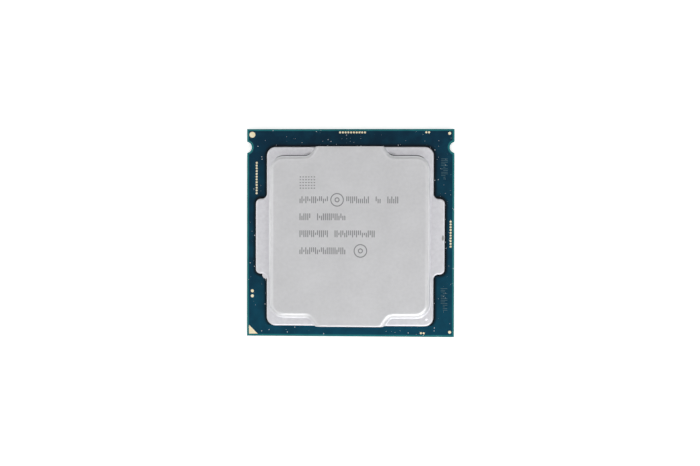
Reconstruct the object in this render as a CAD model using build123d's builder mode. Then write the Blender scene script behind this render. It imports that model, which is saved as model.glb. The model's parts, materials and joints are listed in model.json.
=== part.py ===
from build123d import *
import os

# Desktop processor: a square laminated board with contact lands and capacitors underneath,
# and a silicon die under a glued metal lid on top. Millimetres.
# Origin: below the centre of the board, on the surface that the capacitors underneath rest on.
# +Z points out of the lid.
# +Y points to the end of the board that has the two key notches.

os.makedirs("parts", exist_ok=True)

# ---- Board: outline and layers, from the underside up ----
board_side = 37.5
tiny = 0.01
notch_radius = 1.0
notch_x = board_side / 2 + 0.15
notch_y = 15.43
notch_lip = 0.2

land_plane = 0.58
land_thickness = 0.02
board_bottom = land_plane + land_thickness
board_top = land_plane + 0.87
mask_thickness = 0.05
buildup_thickness = 0.09
copper_thickness = 0.03
copper_inset = 0.35
copper_bottom = board_bottom + mask_thickness
core_bottom = copper_bottom + buildup_thickness
copper_top = board_top - mask_thickness
core_top = copper_top - buildup_thickness

via_radius = 0.1
via_pitch = 4.0
vias_per_side = 8

# ---- Gold marks on the upper face ----
gold_thickness = 0.035
triangle_leg = 1.6
triangle_margin = 0.38

# name: (centre x, centre y, marks along x, marks along y, pitch, radius)
round_marks = {
    "large_fiducial": (-17.80, 17.71, 1, 1, 1.0, 0.54),
    "fiducial_top_right": (17.87, 17.95, 1, 1, 1.0, 0.27),
    "fiducial_bottom_right": (17.98, -17.87, 1, 1, 1.0, 0.27),
    "test_row_top": (0.38, 18.12, 10, 1, 0.5, 0.19),
    "test_pair_top": (13.93, 18.13, 2, 1, 0.5, 0.19),
    "test_column_left": (-17.00, 9.88, 1, 12, 0.5, 0.19),
    "test_column_right": (18.10, -0.19, 1, 10, 0.5, 0.19),
    "test_pair_left": (-17.77, -11.04, 1, 2, 0.91, 0.28),
    "test_pair_bottom": (13.05, -18.08, 2, 1, 0.5, 0.19),
}

# ---- Lid: a stamped plate with a raised plateau and two side ears ----
lid_y = -0.65
lid_width = 30.05
lid_length = 32.2
lid_corner = 1.6
ear_span = 34.0
ear_length = 13.6
ear_corner = 0.9
foot_z = board_top + 0.10
flange_top = foot_z + 1.18
flange_edge = 0.28
blank_width = 40.0
blank_length = 36.0
blank_margin = 1.0
plateau_top = land_plane + 4.40
plateau_width = 28.7
plateau_length = 28.9
plateau_corner = 2.6
plateau_root = 0.3
plateau_edge = 0.85
tab_base = 14.5
tab_end = 9.6
tab_corner = 1.5
dimple_radius = 0.6
dimple_depth = 0.08
dimple_x = 13.9
dimple_y = -15.7
cavity_width = 24.0
cavity_length = 27.0
cavity_corner = 3.0
cavity_ceiling = foot_z + 0.6

# ---- Sealant bead under the lid's foot ----
bead_width = 28.4
bead_length = 30.6
bead_corner = 2.2
bead_breadth = 1.4
vent_gap = 2.2

# ---- Die, its bumps, underfill and paste ----
die_width = 9.2
die_length = 16.3
die_bottom = board_top + 0.07
die_top = cavity_ceiling - 0.12
bump_radius = 0.2
bump_pitch = 1.25
bumps_across = 7
bumps_along = 13
underfill_reach = 0.75
underfill_height = 0.30
underfill_slope = 60
paste_margin = 0.3

# ---- Underside: lands round a central window, capacitors inside it ----
land_pitch = 0.9144
lands_per_side = 40
window_columns = 16
window_rows = 24
columns_beside = (lands_per_side - window_columns) // 2
rows_below = (lands_per_side - window_rows) // 2
corner_cut = 4
land_radius = 0.31

capacitor_length = 1.0
capacitor_width = 0.5
capacitor_height = 0.5
terminal_length = 0.24
terminal_proud = 0.02
terminal_middle = (capacitor_length - terminal_length) / 2
terminal_height = capacitor_height + 2 * terminal_proud
pad_length = 0.42
pad_breadth = 0.56
pad_centre = 0.49
pad_face = board_bottom - land_thickness
solder_foot = 0.12
solder_climb = 0.22
capacitor_pitch_x = 1.9
capacitor_pitch_y = 1.3

# name: (centre x, centre y, capacitors along x, capacitors along y, turn of the long axis)
capacitor_groups = {
    "far_row": (0, 9.3, 6, 1, 0),
    "upper_row": (0, 7.7, 4, 1, 0),
    "upper_left": (-5.6, 4.4, 1, 2, 90),
    "upper_centre": (0, 4.4, 3, 2, 0),
    "upper_right": (5.6, 4.4, 1, 2, 90),
    "lower_left": (-5.6, -4.4, 1, 2, 90),
    "lower_centre": (0, -4.4, 3, 2, 0),
    "lower_right": (5.6, -4.4, 1, 2, 90),
    "lower_row": (0, -7.7, 4, 1, 0),
    "near_row": (0, -9.3, 6, 1, 0),
}

# (centre x, centre y, pads along x, pads along y, pitch, radius)
probe_groups = [(-5.6, 0, 2, 4, 0.8, 0.2), (0, 0, 7, 4, 0.8, 0.2), (5.6, 0, 2, 4, 0.8, 0.2)]


# ---- Outlines, each drawn on a level plane ----
def board_outline(height, inset=0.0):
    """The square board less its two half-round notches, all drawn inset from its edge."""
    edge_x = board_side / 2 - inset
    with BuildSketch(Plane.XY.offset(height)) as outline:
        Rectangle(2 * edge_x, 2 * edge_x)
        with Locations((-notch_x, notch_y), (notch_x, notch_y)):
            Circle(notch_radius + inset, mode=Mode.SUBTRACT)
        mouths = outline.vertices().filter_by(lambda v: abs(v.Y) < edge_x - notch_lip)
        fillet(mouths, notch_lip)
    return outline.sketch


def circles(height, marks):
    """Rows, columns and blocks of equal circles."""
    with BuildSketch(Plane.XY.offset(height)) as drawn:
        for x, y, across, along, pitch, radius in marks:
            with Locations((x, y)):
                with GridLocations(pitch, pitch, across, along):
                    Circle(radius)
    return drawn.sketch


def corner_triangle(height):
    """The right-angled triangle that marks the board's first corner."""
    corner = -board_side / 2 + triangle_margin
    far = corner + triangle_leg
    with BuildSketch(Plane.XY.offset(height)) as drawn:
        with BuildLine():
            Polyline((corner, corner), (far, corner), (corner, far), close=True)
        make_face()
    return drawn.sketch


def rounded(height, width, length, corner):
    """A round-cornered rectangle about the lid's centre."""
    with BuildSketch(Plane((0, lid_y, height))) as drawn:
        RectangleRounded(width, length, corner)
    return drawn.sketch


def lid_outline(height):
    """A rounded rectangle with a round-shouldered ear on each side."""
    with BuildSketch(Plane((0, lid_y, height))) as outline:
        RectangleRounded(lid_width, lid_length, lid_corner)
        RectangleRounded(ear_span, ear_length, ear_corner)
        on_side = outline.vertices().filter_by(lambda v: abs(abs(v.X) - lid_width / 2) < tiny)
        shoulders = on_side.filter_by(lambda v: abs(v.Y) < lid_length / 2 - 2 * lid_corner)
        fillet(shoulders, ear_corner)
    return outline.sketch


def plateau_outline(height):
    """The plateau, with a tab in the middle of each end that runs past the lid's edge."""
    with BuildSketch(Plane((0, lid_y, height))) as outline:
        RectangleRounded(plateau_width, plateau_length, plateau_corner)
        with BuildLine():
            Polyline(
                (0, blank_length / 2),
                (tab_end / 2, blank_length / 2),
                (tab_base / 2, plateau_length / 2),
                (tab_base / 2, 0),
                (0, 0),
                close=True,
            )
        make_face()
        mirror(about=Plane.YZ)
        mirror(about=Plane.XZ)
        roots = outline.vertices().filter_by(lambda v: abs(abs(v.X) - tab_base / 2) < tiny)
        fillet(roots, tab_corner)
    return outline.sketch


def inside_blank(edge):
    """True for an edge that is well away from the outer sides of the lid's blank."""
    middle = edge.center()
    across = abs(middle.X)
    along = abs(middle.Y - lid_y)
    return across < blank_width / 2 - blank_margin and along < blank_length / 2 - blank_margin


# ---- Lands: a square grid less its window, its corners and two dividing rows ----
def is_land(column, row):
    """True where the grid has a land."""
    last = lands_per_side - 1
    from_side = min(column, last - column)
    from_end = min(row, last - row)
    in_window = from_side >= columns_beside and from_end >= rows_below
    in_corner = from_side + from_end < corner_cut
    upper_gap = column < columns_beside and row == lands_per_side - rows_below
    lower_gap = last - column < columns_beside and row == rows_below - 1
    index_mark = column == corner_cut and row == 0
    return not (in_window or in_corner or upper_gap or lower_gap or index_mark)


def in_lower_group(column, row):
    """True for the L-shaped group along the board's near end and its left side."""
    return row < rows_below or (column < columns_beside and row < lands_per_side - rows_below)


def land_centres(lower):
    """Centres of one L-shaped group of lands."""
    middle = (lands_per_side - 1) / 2
    centres = []
    for column in range(lands_per_side):
        for row in range(lands_per_side):
            if is_land(column, row) and in_lower_group(column, row) == lower:
                centres.append(((column - middle) * land_pitch, (row - middle) * land_pitch))
    return centres


# ---- Capacitors ----
def capacitor_places(x, y, across, along, turn):
    """Where one group's capacitors stand, each turned so that its long axis runs its way."""
    pitch_x = capacitor_pitch_y if turn else capacitor_pitch_x
    pitch_y = capacitor_pitch_x if turn else capacitor_pitch_y
    places = []
    with Locations((x, y)):
        for spot in GridLocations(pitch_x, pitch_y, across, along).locations:
            places.append(spot * Location((0, 0, 0), (0, 0, turn)))
    return places


def finish(piece, name):
    """Label a finished piece and write it."""
    piece.part.label = name
    export_step(piece.part, f"parts/{name}.step")


every_capacitor = []
for group in capacitor_groups.values():
    every_capacitor += capacitor_places(*group)

# ---- Board, from the underside up ----
with BuildPart() as bottom_solder_mask:
    extrude(board_outline(board_bottom), amount=mask_thickness)
finish(bottom_solder_mask, "bottom_solder_mask")

with BuildPart() as bottom_copper_plane:
    extrude(board_outline(copper_bottom, copper_inset), amount=copper_thickness)
finish(bottom_copper_plane, "bottom_copper_plane")

with BuildPart() as bottom_buildup:
    extrude(board_outline(copper_bottom), amount=buildup_thickness)
    add(bottom_copper_plane.part, mode=Mode.SUBTRACT)
finish(bottom_buildup, "bottom_buildup")

with BuildPart() as core_vias:
    with BuildSketch(Plane.XY.offset(core_bottom)):
        with GridLocations(via_pitch, via_pitch, vias_per_side, vias_per_side):
            Circle(via_radius)
    extrude(amount=core_top - core_bottom)
finish(core_vias, "core_vias")

with BuildPart() as substrate_core:
    extrude(board_outline(core_bottom), amount=core_top - core_bottom)
    add(core_vias.part, mode=Mode.SUBTRACT)
finish(substrate_core, "substrate_core")

with BuildPart() as top_copper_plane:
    extrude(board_outline(copper_top, copper_inset), amount=-copper_thickness)
finish(top_copper_plane, "top_copper_plane")

with BuildPart() as top_buildup:
    extrude(board_outline(core_top), amount=buildup_thickness)
    add(top_copper_plane.part, mode=Mode.SUBTRACT)
finish(top_buildup, "top_buildup")

with BuildPart() as top_solder_mask:
    extrude(board_outline(copper_top), amount=mask_thickness)
    extrude(circles(copper_top, round_marks.values()), amount=mask_thickness, mode=Mode.SUBTRACT)
    extrude(corner_triangle(copper_top), amount=mask_thickness, mode=Mode.SUBTRACT)
finish(top_solder_mask, "top_solder_mask")

# ---- Gold marks on the upper face ----
for mark_name, mark in round_marks.items():
    with BuildPart() as gold_mark:
        extrude(circles(copper_top, [mark]), amount=gold_thickness)
    finish(gold_mark, mark_name)

with BuildPart() as pin_one_marker:
    extrude(corner_triangle(copper_top), amount=gold_thickness)
finish(pin_one_marker, "pin_one_marker")

# ---- Lands and probe pads on the underside ----
for group_name, is_lower in (("contact_lands_lower", True), ("contact_lands_upper", False)):
    with BuildPart() as contact_lands:
        with BuildSketch(Plane.XY.offset(land_plane)):
            with Locations(*land_centres(is_lower)):
                Circle(land_radius)
        extrude(amount=land_thickness)
    finish(contact_lands, group_name)

with BuildPart() as probe_pads:
    extrude(circles(land_plane, probe_groups), amount=land_thickness)
finish(probe_pads, "probe_pads")

# ---- Capacitors: one is drawn over the origin, and then placed ----
with BuildPart() as ceramic_block:
    with BuildSketch(Plane.XY.offset(terminal_proud)):
        Rectangle(capacitor_length - 2 * terminal_length, capacitor_width)
    extrude(amount=capacitor_height)

with BuildPart() as terminal_pair:
    with BuildSketch():
        with Locations((terminal_middle, 0), (-terminal_middle, 0)):
            Rectangle(terminal_length, capacitor_width + 2 * terminal_proud)
    extrude(amount=terminal_height)

with BuildPart() as pad_pair:
    with BuildSketch(Plane.XY.offset(pad_face)):
        with Locations((pad_centre, 0), (-pad_centre, 0)):
            Rectangle(pad_length, pad_breadth)
    extrude(amount=land_thickness)

with BuildPart() as solder_pair:
    with BuildSketch(Plane.XZ.offset(-pad_breadth / 2)):
        with BuildLine():
            Polyline(
                (capacitor_length / 2 - terminal_length, pad_face),
                (pad_centre + pad_length / 2, pad_face),
                (capacitor_length / 2 + solder_foot, pad_face - solder_foot),
                (capacitor_length / 2, pad_face - solder_climb),
                (capacitor_length / 2, terminal_height),
                (capacitor_length / 2 - terminal_length, terminal_height),
                close=True,
            )
        make_face()
    extrude(amount=pad_breadth)
    mirror(about=Plane.YZ)

for group_name, group in capacitor_groups.items():
    with BuildPart() as bodies:
        with Locations(*capacitor_places(*group)):
            add(ceramic_block.part)
    finish(bodies, f"capacitor_bodies_{group_name}")
    with BuildPart() as terminals:
        with Locations(*capacitor_places(*group)):
            add(terminal_pair.part)
    finish(terminals, f"capacitor_terminals_{group_name}")

with BuildPart() as capacitor_pads:
    with Locations(*every_capacitor):
        add(pad_pair.part)
finish(capacitor_pads, "capacitor_pads")

with BuildPart() as capacitor_solder:
    with Locations(*every_capacitor):
        add(solder_pair.part)
finish(capacitor_solder, "capacitor_solder")

# ---- Die, joined to the board by bumps and underfill ----
with BuildPart() as silicon_die:
    with BuildSketch(Plane((0, lid_y, die_bottom))):
        Rectangle(die_width, die_length)
    extrude(amount=die_top - die_bottom)
finish(silicon_die, "silicon_die")

with BuildPart() as solder_bumps:
    with BuildSketch(Plane((0, lid_y, board_top))):
        with GridLocations(bump_pitch, bump_pitch, bumps_across, bumps_along):
            Circle(bump_radius)
    extrude(amount=die_bottom - board_top)
finish(solder_bumps, "solder_bumps")

with BuildPart() as underfill:
    with BuildSketch(Plane((0, lid_y, board_top))):
        Rectangle(die_width + 2 * underfill_reach, die_length + 2 * underfill_reach)
    extrude(amount=underfill_height, taper=underfill_slope)
    add(silicon_die.part, mode=Mode.SUBTRACT)
    add(solder_bumps.part, mode=Mode.SUBTRACT)
finish(underfill, "underfill")

with BuildPart() as thermal_paste:
    with BuildSketch(Plane((0, lid_y, die_top))):
        Rectangle(die_width + 2 * paste_margin, die_length + 2 * paste_margin)
    extrude(amount=cavity_ceiling - die_top)
finish(thermal_paste, "thermal_paste")

# ---- Sealant: a bead round the lid's foot, open at one place so that the cavity can breathe ----
with BuildPart() as lid_sealant:
    extrude(rounded(board_top, bead_width, bead_length, bead_corner), amount=foot_z - board_top)
    inner_width = bead_width - 2 * bead_breadth
    inner_length = bead_length - 2 * bead_breadth
    with BuildSketch(Plane((0, lid_y, board_top))):
        RectangleRounded(inner_width, inner_length, bead_corner - bead_breadth)
        with Locations((bead_width / 2, 0)):
            Rectangle(4 * bead_breadth, vent_gap)
    extrude(amount=foot_z - board_top, mode=Mode.SUBTRACT)
finish(lid_sealant, "lid_sealant")

# ---- Lid: the plateau is pressed up out of a blank, which is then cut to the lid's outline ----
with BuildPart() as heat_spreader:
    with BuildSketch(Plane((0, lid_y, foot_z))):
        Rectangle(blank_width, blank_length)
    extrude(amount=flange_top - foot_z)
    extrude(plateau_outline(flange_top), amount=plateau_top - flange_top)
    step_edges = heat_spreader.edges().filter_by(inside_blank)
    fillet(step_edges.filter_by_position(Axis.Z, flange_top, flange_top), plateau_root)
    rim = heat_spreader.edges().group_by(Axis.Z)[-1]
    fillet(rim.filter_by(inside_blank), plateau_edge)
    extrude(lid_outline(foot_z), amount=plateau_top - foot_z, mode=Mode.INTERSECT)
    sides = heat_spreader.faces().filter_by(lambda f: f.bounding_box().min.Z < foot_z + tiny)
    side_edges = sides.filter_by(lambda f: f.bounding_box().max.Z > foot_z + tiny).edges()
    fillet(side_edges.filter_by(lambda e: e.bounding_box().min.Z > foot_z + tiny), flange_edge)
    cavity = rounded(foot_z, cavity_width, cavity_length, cavity_corner)
    extrude(cavity, amount=cavity_ceiling - foot_z, mode=Mode.SUBTRACT)
    with Locations((dimple_x, dimple_y, flange_top + dimple_radius - dimple_depth)):
        Sphere(dimple_radius, mode=Mode.SUBTRACT)
finish(heat_spreader, "heat_spreader")
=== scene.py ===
import json
import math
import random

import bpy
from mathutils import Euler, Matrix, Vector


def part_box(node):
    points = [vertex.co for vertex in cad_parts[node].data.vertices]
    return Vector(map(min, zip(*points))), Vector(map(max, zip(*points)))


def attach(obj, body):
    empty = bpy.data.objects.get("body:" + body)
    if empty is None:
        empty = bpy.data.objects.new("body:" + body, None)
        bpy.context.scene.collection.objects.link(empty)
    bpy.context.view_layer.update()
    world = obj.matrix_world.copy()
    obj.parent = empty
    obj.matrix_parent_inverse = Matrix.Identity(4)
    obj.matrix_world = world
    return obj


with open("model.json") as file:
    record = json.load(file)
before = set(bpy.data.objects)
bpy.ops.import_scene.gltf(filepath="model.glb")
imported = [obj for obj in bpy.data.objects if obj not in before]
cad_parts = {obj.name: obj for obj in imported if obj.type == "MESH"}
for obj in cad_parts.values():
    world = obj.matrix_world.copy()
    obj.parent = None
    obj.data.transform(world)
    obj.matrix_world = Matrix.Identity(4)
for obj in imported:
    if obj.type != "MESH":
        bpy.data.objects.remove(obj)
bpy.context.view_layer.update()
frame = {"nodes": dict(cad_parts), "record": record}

# A desktop processor, seen from almost straight above, with its lid up.
# The frame is in metres. Places and sizes on the object are named in millimetres, and go through MM.
MM = 0.001
nodes = frame["nodes"]
board_low, board_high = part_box("top_solder_mask")
lid_low, lid_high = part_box("heat_spreader")
mounts = {mount["name"]: mount["pos_m"] for mount in frame["record"]["mounts"]}
BOARD_HALF = board_high.x / MM
BOARD_MIDDLE_Z = (board_low.z + board_high.z) / 2 / MM
LID_TOP_Z = lid_high.z / MM
LID_BOTTOM_Z = lid_low.z / MM
LID_NEAR_Y = lid_low.y / MM
LID_MIDDLE_Y = (lid_low.y + lid_high.y) / 2 / MM
LID_HALF_LENGTH = (lid_high.y - lid_low.y) / 2 / MM
LID_HALF_WIDTH = 15.02
LID_CORNER = 1.6
EAR_END_X = lid_high.x / MM
EAR_HALF_LENGTH = 6.8
EAR_CORNER = 0.9
EAR_FACE_Z = mounts["load_ear_left"][2] / MM
NOTCH_X = mounts["key_notch_right"][0] / MM
NOTCH_Y = mounts["key_notch_right"][1] / MM


# ---- Camera: a long lens above the lid, leaning a little towards +X ----
LENS = 71.1
SENSOR_WIDTH = 36
CLIP_START = 0.01
# How the object is turned as the camera sees it, and the camera's place along its own axes, in millimetres.
TURN = Euler((math.radians(0.96), math.radians(-3.15), math.radians(-0.18)), "XYZ")
PLACE = Vector((-0.12, -0.06, 251.27))

camera_data = bpy.data.cameras.new("camera")
camera_data.lens = LENS
camera_data.sensor_width = SENSOR_WIDTH
camera_data.clip_start = CLIP_START
camera = bpy.data.objects.new("camera", camera_data)
bpy.context.scene.collection.objects.link(camera)
to_world = TURN.to_matrix().transposed()
camera.matrix_world = to_world.to_4x4()
camera.location = to_world @ PLACE * MM
bpy.context.scene.camera = camera


# ---- Light: a near front source, two broad sides, one high behind, a dim one overhead, a white world ----
WORLD_STRENGTH = 0.22


def softbox(name, azimuth, elevation, distance, size, power):
    """A rectangular area light that faces the object, in degrees, metres and watts.

    Azimuth 0 is the front, -Y, and azimuth 90 is +X.
    """
    light = bpy.data.lights.new(name, "AREA")
    light.shape = "RECTANGLE"
    light.size, light.size_y = size
    light.energy = power
    lamp = bpy.data.objects.new(name, light)
    bpy.context.scene.collection.objects.link(lamp)
    turn, rise = math.radians(azimuth), math.radians(elevation)
    way = Vector((math.sin(turn) * math.cos(rise), -math.cos(turn) * math.cos(rise), math.sin(rise)))
    lamp.location = way * distance
    lamp.rotation_euler = way.to_track_quat("Z", "Y").to_euler()


softbox("front_light", 14, 40, 0.28, (0.30, 0.20), 0.40)
softbox("left_light", -85, 42, 0.60, (0.80, 0.60), 1.20)
softbox("right_light", 85, 42, 0.45, (0.80, 0.60), 0.75)
softbox("back_light", 178, 57, 0.60, (0.80, 0.42), 0.60)
softbox("top_light", 0, 86, 0.60, (0.60, 0.60), 0.14)

world = bpy.data.worlds.new("studio")
bpy.context.scene.world = world
world.use_nodes = True
background = world.node_tree.nodes["Background"]
background.inputs["Color"].default_value = (1, 1, 1, 1)
background.inputs["Strength"].default_value = WORLD_STRENGTH
bpy.context.scene.view_settings.view_transform = "Standard"


# ---- Material helpers ----
class Finish:
    """A node material under construction, with its coordinates in millimetres."""

    def __init__(self, name, metal=0.0):
        self.material = bpy.data.materials.new(name)
        self.material.use_nodes = True
        self.nodes = self.material.node_tree.nodes
        self.links = self.material.node_tree.links
        self.shader = self.nodes["Principled BSDF"]
        self.shader.inputs["Metallic"].default_value = metal
        place = self.nodes.new("ShaderNodeTexCoord")
        scale = self.nodes.new("ShaderNodeVectorMath")
        scale.operation = "SCALE"
        scale.inputs["Scale"].default_value = 1 / MM
        self.links.new(place.outputs["Object"], scale.inputs[0])
        self.place = scale.outputs[0]

    def axes(self):
        """The x, y and z of the place, in millimetres."""
        split = self.nodes.new("ShaderNodeSeparateXYZ")
        self.links.new(self.place, split.inputs[0])
        return split.outputs

    def stretched(self, x, y, z):
        """Coordinates multiplied axis by axis, for grain that runs one way."""
        mapping = self.nodes.new("ShaderNodeVectorMath")
        mapping.operation = "MULTIPLY"
        mapping.inputs[1].default_value = (x, y, z)
        self.links.new(self.place, mapping.inputs[0])
        return mapping.outputs[0]

    def noise(self, per_mm, detail=4.0, place=None):
        """Soft noise with about per_mm features in each millimetre."""
        noise = self.nodes.new("ShaderNodeTexNoise")
        noise.inputs["Scale"].default_value = per_mm
        noise.inputs["Detail"].default_value = detail
        self.links.new(place or self.place, noise.inputs["Vector"])
        return noise.outputs["Fac"]

    def cells(self, per_mm):
        """A scatter of points: the Distance to the nearest one, and the Color that it has."""
        cells = self.nodes.new("ShaderNodeTexVoronoi")
        cells.inputs["Scale"].default_value = per_mm
        self.links.new(self.place, cells.inputs["Vector"])
        return cells.outputs

    def flecks(self, per_mm, reach, rarity):
        """1 on small round flecks, in the share of the cells that lies above rarity, and 0 between them."""
        cells = self.cells(per_mm)
        pick = self.nodes.new("ShaderNodeSeparateColor")
        self.links.new(cells["Color"], pick.inputs[0])
        chosen = self.math("GREATER_THAN", pick.outputs["Red"], rarity)
        inside = self.inverse(self.span(cells["Distance"], reach / 2, reach))
        return self.math("MULTIPLY", chosen, inside)

    def plain(self, red, green, blue):
        """One colour, for a mix."""
        colour = self.nodes.new("ShaderNodeRGB")
        colour.outputs[0].default_value = (red, green, blue, 1)
        return colour.outputs[0]

    def ramp(self, factor, *stops):
        """A colour for each value of factor. Each stop is (value, colour)."""
        ramp = self.nodes.new("ShaderNodeValToRGB")
        marks = ramp.color_ramp.elements
        while len(marks) < len(stops):
            marks.new(1.0)
        for mark, (value, colour) in zip(marks, stops):
            mark.position = value
            mark.color = (*colour, 1)
        self.links.new(factor, ramp.inputs["Fac"])
        return ramp.outputs["Color"]

    def mix(self, factor, first, second):
        """first where factor is 0, and second where it is 1."""
        mix = self.nodes.new("ShaderNodeMix")
        mix.data_type = "RGBA"
        self.links.new(factor, mix.inputs["Factor"])
        self.links.new(first, mix.inputs["A"])
        self.links.new(second, mix.inputs["B"])
        return mix.outputs["Result"]

    def math(self, operation, first, second=0.0):
        """One step of arithmetic on sockets or numbers."""
        step = self.nodes.new("ShaderNodeMath")
        step.operation = operation
        for socket, value in zip(step.inputs, (first, second)):
            if isinstance(value, (int, float)):
                socket.default_value = value
            else:
                self.links.new(value, socket)
        return step.outputs[0]

    def inverse(self, factor):
        """1 where factor is 0, and 0 where it is 1."""
        return self.math("SUBTRACT", 1.0, factor)

    def squares(self, x, y):
        """The sum of two squares."""
        return self.math("ADD", self.math("MULTIPLY", x, x), self.math("MULTIPLY", y, y))

    def span(self, value, low, high):
        """0 below low, 1 above high, and smooth between."""
        span = self.nodes.new("ShaderNodeMapRange")
        span.interpolation_type = "SMOOTHSTEP"
        span.inputs["From Min"].default_value = low
        span.inputs["From Max"].default_value = high
        self.links.new(value, span.inputs["Value"])
        return span.outputs["Result"]

    def band(self, value, rise, fall):
        """1 from the end of rise to the start of fall, 0 outside both, and smooth along each."""
        return self.math("SUBTRACT", self.span(value, *rise), self.span(value, *fall))

    def beyond_rounded(self, x, y, half_x, half_y, corner):
        """How far a place lies outside a round-cornered rectangle, from its distances to the middle."""
        over_x = self.math("MAXIMUM", self.math("SUBTRACT", x, half_x - corner), 0.0)
        over_y = self.math("MAXIMUM", self.math("SUBTRACT", y, half_y - corner), 0.0)
        return self.math("SUBTRACT", self.math("SQRT", self.squares(over_x, over_y)), corner)

    def crease(self, reach, tight, loose):
        """1 where a wall stands close by, within reach millimetres, and 0 in the open."""
        corner = self.nodes.new("ShaderNodeAmbientOcclusion")
        corner.inputs["Distance"].default_value = reach * MM
        return self.inverse(self.span(corner.outputs["AO"], tight, loose))

    def colour(self, socket):
        """The surface's own colour."""
        self.links.new(socket, self.shader.inputs["Base Color"])

    def rough(self, factor, low, high):
        """Roughness that runs from low to high with factor."""
        span = self.nodes.new("ShaderNodeMapRange")
        span.inputs["To Min"].default_value = low
        span.inputs["To Max"].default_value = high
        self.links.new(factor, span.inputs["Value"])
        self.links.new(span.outputs["Result"], self.shader.inputs["Roughness"])

    def bump(self, height, depth, strength=1.0):
        """Relief of a real depth in millimetres."""
        bump = self.nodes.new("ShaderNodeBump")
        bump.inputs["Distance"].default_value = depth * MM
        bump.inputs["Strength"].default_value = strength
        self.links.new(height, bump.inputs["Height"])
        self.links.new(bump.outputs["Normal"], self.shader.inputs["Normal"])


# The plateau's tone fades into the shelves' between these two depths below the lid's top.
PLATEAU_DEPTH = 0.4
SHELF_DEPTH = 2.2
# The strip along Y round the far step, with its soft start and its soft end.
STEP_START = (13.3, 13.7)
STEP_END = (14.1, 14.7)
# Painted shade in that step's foot, as heights above the ears' face, with a soft start and a soft end.
FOOT_START = (0.01, 0.03)
FOOT_END = (0.15, 0.35)
FOOT_SHADE = 0.9
# Painted shade in every corner within reach of a wall, and what the far step has on top of it.
CORNER_REACH = 1.5
CORNER_SHADE = 0.15
STEP_SHADE = 0.5
# A small dark scuff on the right ear, with a ragged edge in squares of its half sizes.
SCUFF_X, SCUFF_Y = 16.7, -0.9
SCUFF_HALF_X, SCUFF_HALF_Y = 0.22, 0.55
SCUFF_EDGE = (0.9, 1.6)
SCUFF_SHARE = 0.7


def lid_nickel():
    """Satin nickel plate in soft patches, brighter on the shelves, with painted shade in its corners and at
    the far step, and a scuff.
    """
    finish = Finish("lid_nickel", metal=1.0)
    at = finish.axes()
    grain = finish.noise(9.0, 3.0)
    patches = finish.noise(1.6, 6.0)
    smudges = finish.noise(0.2, 3.0)
    tone = finish.math("ADD", finish.math("MULTIPLY", patches, 0.4), finish.math("MULTIPLY", smudges, 0.6))
    plateau = finish.ramp(tone, (0.35, (0.735, 0.735, 0.748)), (0.65, (0.800, 0.800, 0.815)))
    shelf = finish.ramp(patches, (0.35, (0.82, 0.815, 0.85)), (0.65, (0.88, 0.875, 0.91)))
    height = finish.span(at["Z"], LID_TOP_Z - SHELF_DEPTH, LID_TOP_Z - PLATEAU_DEPTH)
    clean = finish.mix(height, shelf, plateau)
    # Painted shade: darker in corners within reach of a wall, more so at the far step, with a dark line
    # along that step's foot.
    step = finish.band(at["Y"], STEP_START, STEP_END)
    painted_shade = finish.math("ADD", finish.math("MULTIPLY", step, STEP_SHADE), CORNER_SHADE)
    painted_shade = finish.math("MULTIPLY", finish.crease(CORNER_REACH, 0.50, 0.68), painted_shade)
    painted_foot_shade = finish.band(finish.math("SUBTRACT", at["Z"], EAR_FACE_Z), FOOT_START, FOOT_END)
    painted_foot_shade = finish.math("MULTIPLY", painted_foot_shade, finish.math("MULTIPLY", step, FOOT_SHADE))
    along = finish.math("DIVIDE", finish.math("SUBTRACT", at["X"], SCUFF_X), SCUFF_HALF_X)
    across = finish.math("DIVIDE", finish.math("SUBTRACT", at["Y"], SCUFF_Y), SCUFF_HALF_Y)
    from_scuff = finish.math("ADD", finish.squares(along, across), patches)
    scuff = finish.math("MULTIPLY", finish.inverse(finish.span(from_scuff, *SCUFF_EDGE)), SCUFF_SHARE)
    worn = finish.mix(scuff, clean, finish.plain(0.22, 0.22, 0.20))
    # The painted shade turns the nickel near black.
    finish.colour(finish.mix(finish.math("MAXIMUM", painted_shade, painted_foot_shade), worn, finish.plain(0.02, 0.02, 0.02)))
    finish.rough(grain, 0.40, 0.54)
    finish.bump(grain, 0.004)
    return finish.material


# The light rim without copper, as distances from the board's edge: where it starts and where it is lightest.
RIM_START = 0.38
RIM_LIGHTEST = 0.30
# The same round a key notch: lightest within the first distance from its middle, and gone beyond the second.
NOTCH_RIM = (1.32, 1.40)
# Painted light: the mask gets lighter to the right and darker to the far side, by so much tone for each
# millimetre.
PAINTED_LIGHT_RIGHT = 0.004
PAINTED_SHADE_FAR = 0.012
# Painted shadow beside the lid: full within the first distance from its outline, and gone beyond the second.
LID_SHADOW = (0.10, 0.85)


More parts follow.
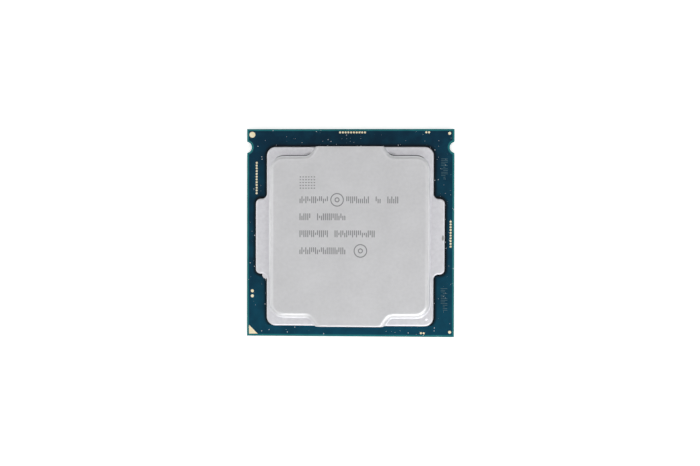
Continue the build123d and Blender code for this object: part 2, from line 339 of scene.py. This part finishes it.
def solder_mask():
    """Deep blue-green gloss over copper, lighter round the edge where no copper lies under it, with dust,
    painted light across it and a painted shadow beside the lid.
    """
    finish = Finish("solder_mask")
    at = finish.axes()
    side = finish.math("ABSOLUTE", at["X"])
    outward = finish.math("MAXIMUM", side, finish.math("ABSOLUTE", at["Y"]))
    near_edge = finish.span(outward, BOARD_HALF - RIM_START, BOARD_HALF - RIM_LIGHTEST)
    along = finish.math("SUBTRACT", side, NOTCH_X)
    across = finish.math("SUBTRACT", at["Y"], NOTCH_Y)
    from_notch = finish.math("SQRT", finish.squares(along, across))
    near_notch = finish.inverse(finish.span(from_notch, *NOTCH_RIM))
    rim = finish.math("MAXIMUM", near_edge, near_notch)
    mottle = finish.noise(0.5, 5.0)
    # Painted light across the mask: lighter to the right, darker to the far side.
    painted_light_rightward = finish.math("MULTIPLY", at["X"], PAINTED_LIGHT_RIGHT)
    painted_shade_farther = finish.math("MULTIPLY", at["Y"], PAINTED_SHADE_FAR)
    tone = finish.math("ADD", mottle, finish.math("SUBTRACT", painted_light_rightward, painted_shade_farther))
    face = finish.ramp(tone, (0.2, (0.0004, 0.026, 0.054)), (0.8, (0.0012, 0.056, 0.098)))
    bare = finish.ramp(mottle, (0.3, (0.010, 0.150, 0.165)), (0.7, (0.020, 0.190, 0.200)))
    # Painted shadow: near black on the top face beside the lid and its ears, except in front of it, and
    # rougher there.
    from_middle = finish.math("ABSOLUTE", finish.math("SUBTRACT", at["Y"], LID_MIDDLE_Y))
    plate = finish.beyond_rounded(side, from_middle, LID_HALF_WIDTH, LID_HALF_LENGTH, LID_CORNER)
    ears = finish.beyond_rounded(side, from_middle, EAR_END_X, EAR_HALF_LENGTH, EAR_CORNER)
    near_lid = finish.inverse(finish.span(finish.math("MINIMUM", plate, ears), *LID_SHADOW))
    on_top = finish.math("GREATER_THAN", at["Z"], BOARD_MIDDLE_Z)
    behind = finish.math("GREATER_THAN", at["Y"], LID_NEAR_Y)
    painted_shadow = finish.math("MULTIPLY", finish.math("MULTIPLY", near_lid, on_top), behind)
    painted = finish.mix(painted_shadow, finish.mix(rim, face, bare), finish.plain(0.0004, 0.0020, 0.0030))
    coarse_dust = finish.flecks(per_mm=1.5, reach=0.14, rarity=0.72)
    fine_dust = finish.flecks(per_mm=3.2, reach=0.16, rarity=0.90)
    dust = finish.math("MAXIMUM", coarse_dust, fine_dust)
    finish.colour(finish.mix(dust, painted, finish.plain(0.80, 0.84, 0.88)))
    finish.rough(finish.math("MAXIMUM", finish.noise(1.5, 3.0), painted_shadow), 0.12, 0.30)
    finish.shader.inputs["Specular IOR Level"].default_value = 0.22
    finish.bump(finish.noise(2.5, 2.0), 0.003, 0.5)
    return finish.material


def gold():
    """Immersion gold: pale, matt, and a little warmer in places."""
    finish = Finish("gold", metal=0.5)
    patches = finish.noise(1.2, 3.0)
    finish.colour(finish.ramp(patches, (0.35, (1.00, 0.86, 0.56)), (0.65, (1.00, 0.93, 0.70))))
    finish.rough(patches, 0.42, 0.52)
    finish.bump(finish.noise(14.0, 2.0), 0.002)
    return finish.material


def copper():
    """Plain copper, dulled in patches."""
    finish = Finish("copper", metal=1.0)
    patches = finish.noise(0.8)
    finish.colour(finish.ramp(patches, (0.3, (0.62, 0.28, 0.16)), (0.7, (0.80, 0.42, 0.28))))
    finish.rough(patches, 0.3, 0.5)
    return finish.material


def layered_resin(name, dark, light, roughness):
    """Resin whose colour runs in thin level layers along a cut edge."""
    finish = Finish(name)
    layers = finish.noise(1.0, 3.0, finish.stretched(0.6, 0.6, 14.0))
    finish.colour(finish.ramp(layers, (0.35, dark), (0.65, light)))
    finish.rough(layers, roughness, roughness + 0.12)
    finish.bump(layers, 0.01)
    return finish.material


def glass_laminate():
    """Laminate cut across its weave: pale bundle ends in darker, greener resin."""
    finish = Finish("glass_laminate")
    bundles = finish.cells(3.6)["Distance"]
    fibres = finish.noise(6.0, 4.0, finish.stretched(0.5, 0.5, 3.0))
    resin = finish.ramp(fibres, (0.3, (0.17, 0.20, 0.11)), (0.7, (0.26, 0.28, 0.16)))
    glass = finish.ramp(fibres, (0.3, (0.28, 0.30, 0.18)), (0.7, (0.38, 0.40, 0.27)))
    finish.colour(finish.mix(finish.span(bundles, 0.20, 0.50), glass, resin))
    finish.rough(fibres, 0.6, 0.8)
    finish.bump(fibres, 0.02)
    return finish.material


def speckled(name, dark, light, per_mm, roughness, metal=0.0, depth=0.004):
    """A surface with soft speckle of one size."""
    finish = Finish(name, metal=metal)
    speckle = finish.noise(per_mm, 4.0)
    finish.colour(finish.ramp(speckle, (0.35, dark), (0.65, light)))
    finish.rough(speckle, roughness, roughness + 0.12)
    finish.bump(speckle, depth)
    return finish.material


materials = {
    "lid_nickel": lid_nickel(),
    "solder_mask": solder_mask(),
    "gold": gold(),
    "copper": copper(),
    "buildup_resin": layered_resin("buildup_resin", (0.02, 0.07, 0.08), (0.05, 0.13, 0.13), 0.4),
    "glass_laminate": glass_laminate(),
    "black_sealant": speckled("black_sealant", (0.012, 0.012, 0.013), (0.025, 0.025, 0.026), 3.0, 0.5),
    "silicon": speckled("silicon", (0.07, 0.08, 0.10), (0.10, 0.11, 0.13), 1.0, 0.12, metal=0.6),
    "paste": speckled("paste", (0.36, 0.36, 0.36), (0.48, 0.48, 0.47), 4.0, 0.7, depth=0.02),
    "solder": speckled("solder", (0.52, 0.52, 0.52), (0.66, 0.66, 0.65), 6.0, 0.28, metal=1.0),
    "underfill_resin": speckled("underfill_resin", (0.04, 0.03, 0.02), (0.08, 0.06, 0.04), 3.0, 0.3),
    "ceramic": speckled("ceramic", (0.22, 0.14, 0.08), (0.34, 0.23, 0.14), 9.0, 0.45),
    "tinned_metal": speckled("tinned_metal", (0.58, 0.57, 0.55), (0.74, 0.73, 0.71), 8.0, 0.36, metal=1.0),
}
for part in frame["record"]["subparts"]:
    nodes[part["node"]].material_slots[0].material = materials[part["material_slot"]]


# ---- New pieces: marking on the lid, print on the board, and a burr on the lid ----
# How far a film reaches above and below its surface, a stroke's width, and the steps in its ends and a ring.
FILM = 0.006
STROKE = 0.17
END_STEPS = 6
RING_STEPS = 40


class Flats:
    """Closed flat pieces between two heights, gathered into one mesh. Sizes in millimetres."""

    def __init__(self, bottom, top):
        self.bottom = bottom
        self.top = top
        self.points = []
        self.faces = []

    def outline(self, corners):
        """A piece with the given outline, which runs anticlockwise."""
        start, count = len(self.points), len(corners)
        for height in (self.bottom, self.top):
            self.points += [(x * MM, y * MM, height * MM) for x, y in corners]
        self.faces.append([start + count + i for i in range(count)])
        self.faces.append([start + i for i in reversed(range(count))])
        for i in range(count):
            j = (i + 1) % count
            self.faces.append([start + i, start + j, start + count + j, start + count + i])

    def stroke(self, start, end, width=STROKE):
        """A straight stroke with round ends."""
        way = math.atan2(end[1] - start[1], end[0] - start[0])
        corners = []
        for (x, y), side in ((end, -0.5), (start, 0.5)):
            for i in range(END_STEPS + 1):
                turn = way + math.pi * (side + i / END_STEPS)
                corners.append((x + width / 2 * math.cos(turn), y + width / 2 * math.sin(turn)))
        self.outline(corners)

    def ring(self, x, y, radius, steps=RING_STEPS, width=STROKE):
        """A ring whose middle line has the given radius."""
        start = len(self.points)
        for i in range(steps):
            turn = 2 * math.pi * i / steps
            for reach in (radius - width / 2, radius + width / 2):
                for height in (self.bottom, self.top):
                    place = (x + reach * math.cos(turn), y + reach * math.sin(turn), height)
                    self.points.append(tuple(value * MM for value in place))
        for i in range(steps):
            inner_low, inner_top, outer_low, outer_top = (start + 4 * i + k for k in range(4))
            next_i = start + 4 * ((i + 1) % steps)
            self.faces.append([inner_top, outer_top, next_i + 3, next_i + 1])
            self.faces.append([inner_low, next_i, next_i + 2, outer_low])
            self.faces.append([outer_low, next_i + 2, next_i + 3, outer_top])
            self.faces.append([inner_low, inner_top, next_i + 1, next_i])

    def piece(self, name, slot, material):
        """The finished object, riding on the processor."""
        mesh = bpy.data.meshes.new(name)
        mesh.from_pydata(self.points, [], self.faces)
        mesh.materials.append(material)
        made = bpy.data.objects.new(name, mesh)
        bpy.context.scene.collection.objects.link(made)
        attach(made, "root")


def films(surface_z):
    """Thin flat pieces that stand just proud of a surface, and reach just under it."""
    return Flats(surface_z - FILM, surface_z + FILM)


# Where a tick may start and end, as shares of the row's height.
TICK_LOW_ENDS = (0.0, 0.0, 0.35)
TICK_HIGH_ENDS = (1.0, 1.0, 0.62)
draw = random.Random(11)


def tick_span(height):
    """The low and high end of one tick: whole, or short at its top, its bottom or both."""
    low = draw.choice(TICK_LOW_ENDS) * height
    high = draw.choice(TICK_HIGH_ENDS) * height
    return low, high


# One character is one cell: # is a group of ticks, O is a double ring, and a space is blank.
marking_rows = ("##### O #### # ##", "## #####", "##### #######", "########  O")
CELL = 1.045
TICK_PITCH = CELL / 3
ROW_PITCH = 3.03
ROW_HEIGHT = 1.25
FIRST_CELL_X = -8.96
FIRST_BASELINE = 5.3
RING_RADIUS = 1.12
INNER_RING_RADIUS = 0.36
INNER_RING_STEPS = 20
DOT_COLUMNS = 6
DOT_LINES = 5
DOT_PITCH = 0.5
DOT_LENGTH = 0.12
DOTS_ABOVE = 2.7


def lid_marking():
    """Rows of ticks with two double rings, and a block of dots above them."""
    marks = films(LID_TOP_Z)
    for row, cells in enumerate(marking_rows):
        base = FIRST_BASELINE - row * ROW_PITCH
        for index, cell in enumerate(cells):
            middle = FIRST_CELL_X + (index + 0.5) * CELL
            if cell == "O":
                marks.ring(middle, base + ROW_HEIGHT / 2, RING_RADIUS)
                marks.ring(middle, base + ROW_HEIGHT / 2, INNER_RING_RADIUS, steps=INNER_RING_STEPS)
            if cell == "#":
                for step in (-1, 0, 1):
                    x = middle + step * TICK_PITCH
                    low, high = tick_span(ROW_HEIGHT - STROKE)
                    marks.stroke((x, base + STROKE / 2 + low), (x, base + STROKE / 2 + high))
    for column in range(DOT_COLUMNS):
        for line in range(DOT_LINES):
            x = FIRST_CELL_X + STROKE + column * DOT_PITCH
            y = FIRST_BASELINE + DOTS_ABOVE + line * DOT_PITCH
            marks.stroke((x, y), (x + DOT_LENGTH, y))
    dark = speckled("laser_mark", (0.20, 0.20, 0.21), (0.30, 0.30, 0.31), 12.0, 0.5, metal=0.4)
    marks.piece("lid_marking", "lid_nickel", dark)


# The burr's outline, anticlockwise from the corner between the lid's side and the ear's end.
burr_outline = (
    (-15.00, -7.40), (-15.80, -7.40), (-15.84, -7.74), (-15.70, -7.98), (-15.58, -8.20),
    (-15.40, -8.22), (-15.27, -8.40), (-15.10, -8.30), (-15.00, -8.00),
)
BURR_ABOVE_LID_BOTTOM = 0.1
BURR_BELOW_EAR_FACE = 0.2


def edge_burr():
    """A ragged burr in the corner below the left ear, lower than the ear's face."""
    burr = Flats(LID_BOTTOM_Z + BURR_ABOVE_LID_BOTTOM, EAR_FACE_Z - BURR_BELOW_EAR_FACE)
    burr.outline(burr_outline)
    burr.piece("edge_burr", "lid_nickel", materials["lid_nickel"])


# Each column is the Y of its first tick and its number of ticks.
print_columns = ((9.75, 13), (-13.9, 14))
PRINT_X = 16.4
PRINT_HEIGHT = 1.1
PRINT_PITCH = 0.3
PRINT_STROKE = 0.11


def board_print():
    """Two faint columns of ticks beside the lid, which read along the board's side."""
    ticks = films(board_high.z / MM)
    for first_y, count in print_columns:
        for index in range(count):
            y = first_y + index * PRINT_PITCH
            low, high = tick_span(PRINT_HEIGHT)
            ticks.stroke((PRINT_X + low, y), (PRINT_X + high, y), width=PRINT_STROKE)
    faint = speckled("faint_print", (0.022, 0.075, 0.105), (0.040, 0.110, 0.140), 8.0, 0.4)
    ticks.piece("board_print", "solder_mask", faint)


lid_marking()
edge_burr()
board_print()


# ---- Floor: white, with a glow of its own, so that shadows on it stay faint ----
FLOOR_HALF = 2.0
FLOOR_GLOW = 0.50


def pale_floor():
    """Matt white, a little cloudy, with a glow."""
    finish = Finish("pale_floor")
    cloud = finish.noise(0.01, 2.0)
    finish.colour(finish.ramp(cloud, (0.3, (0.90, 0.90, 0.90)), (0.7, (0.92, 0.92, 0.92))))
    finish.rough(cloud, 0.85, 0.95)
    finish.shader.inputs["Emission Color"].default_value = (1, 1, 1, 1)
    finish.shader.inputs["Emission Strength"].default_value = FLOOR_GLOW
    return finish.material


floor_mesh = bpy.data.meshes.new("floor")
floor_corners = [(x * FLOOR_HALF, y * FLOOR_HALF, 0) for x, y in ((-1, -1), (1, -1), (1, 1), (-1, 1))]
floor_mesh.from_pydata(floor_corners, [], [(0, 1, 2, 3)])
floor_mesh.materials.append(pale_floor())
floor = bpy.data.objects.new("floor", floor_mesh)
bpy.context.scene.collection.objects.link(floor)
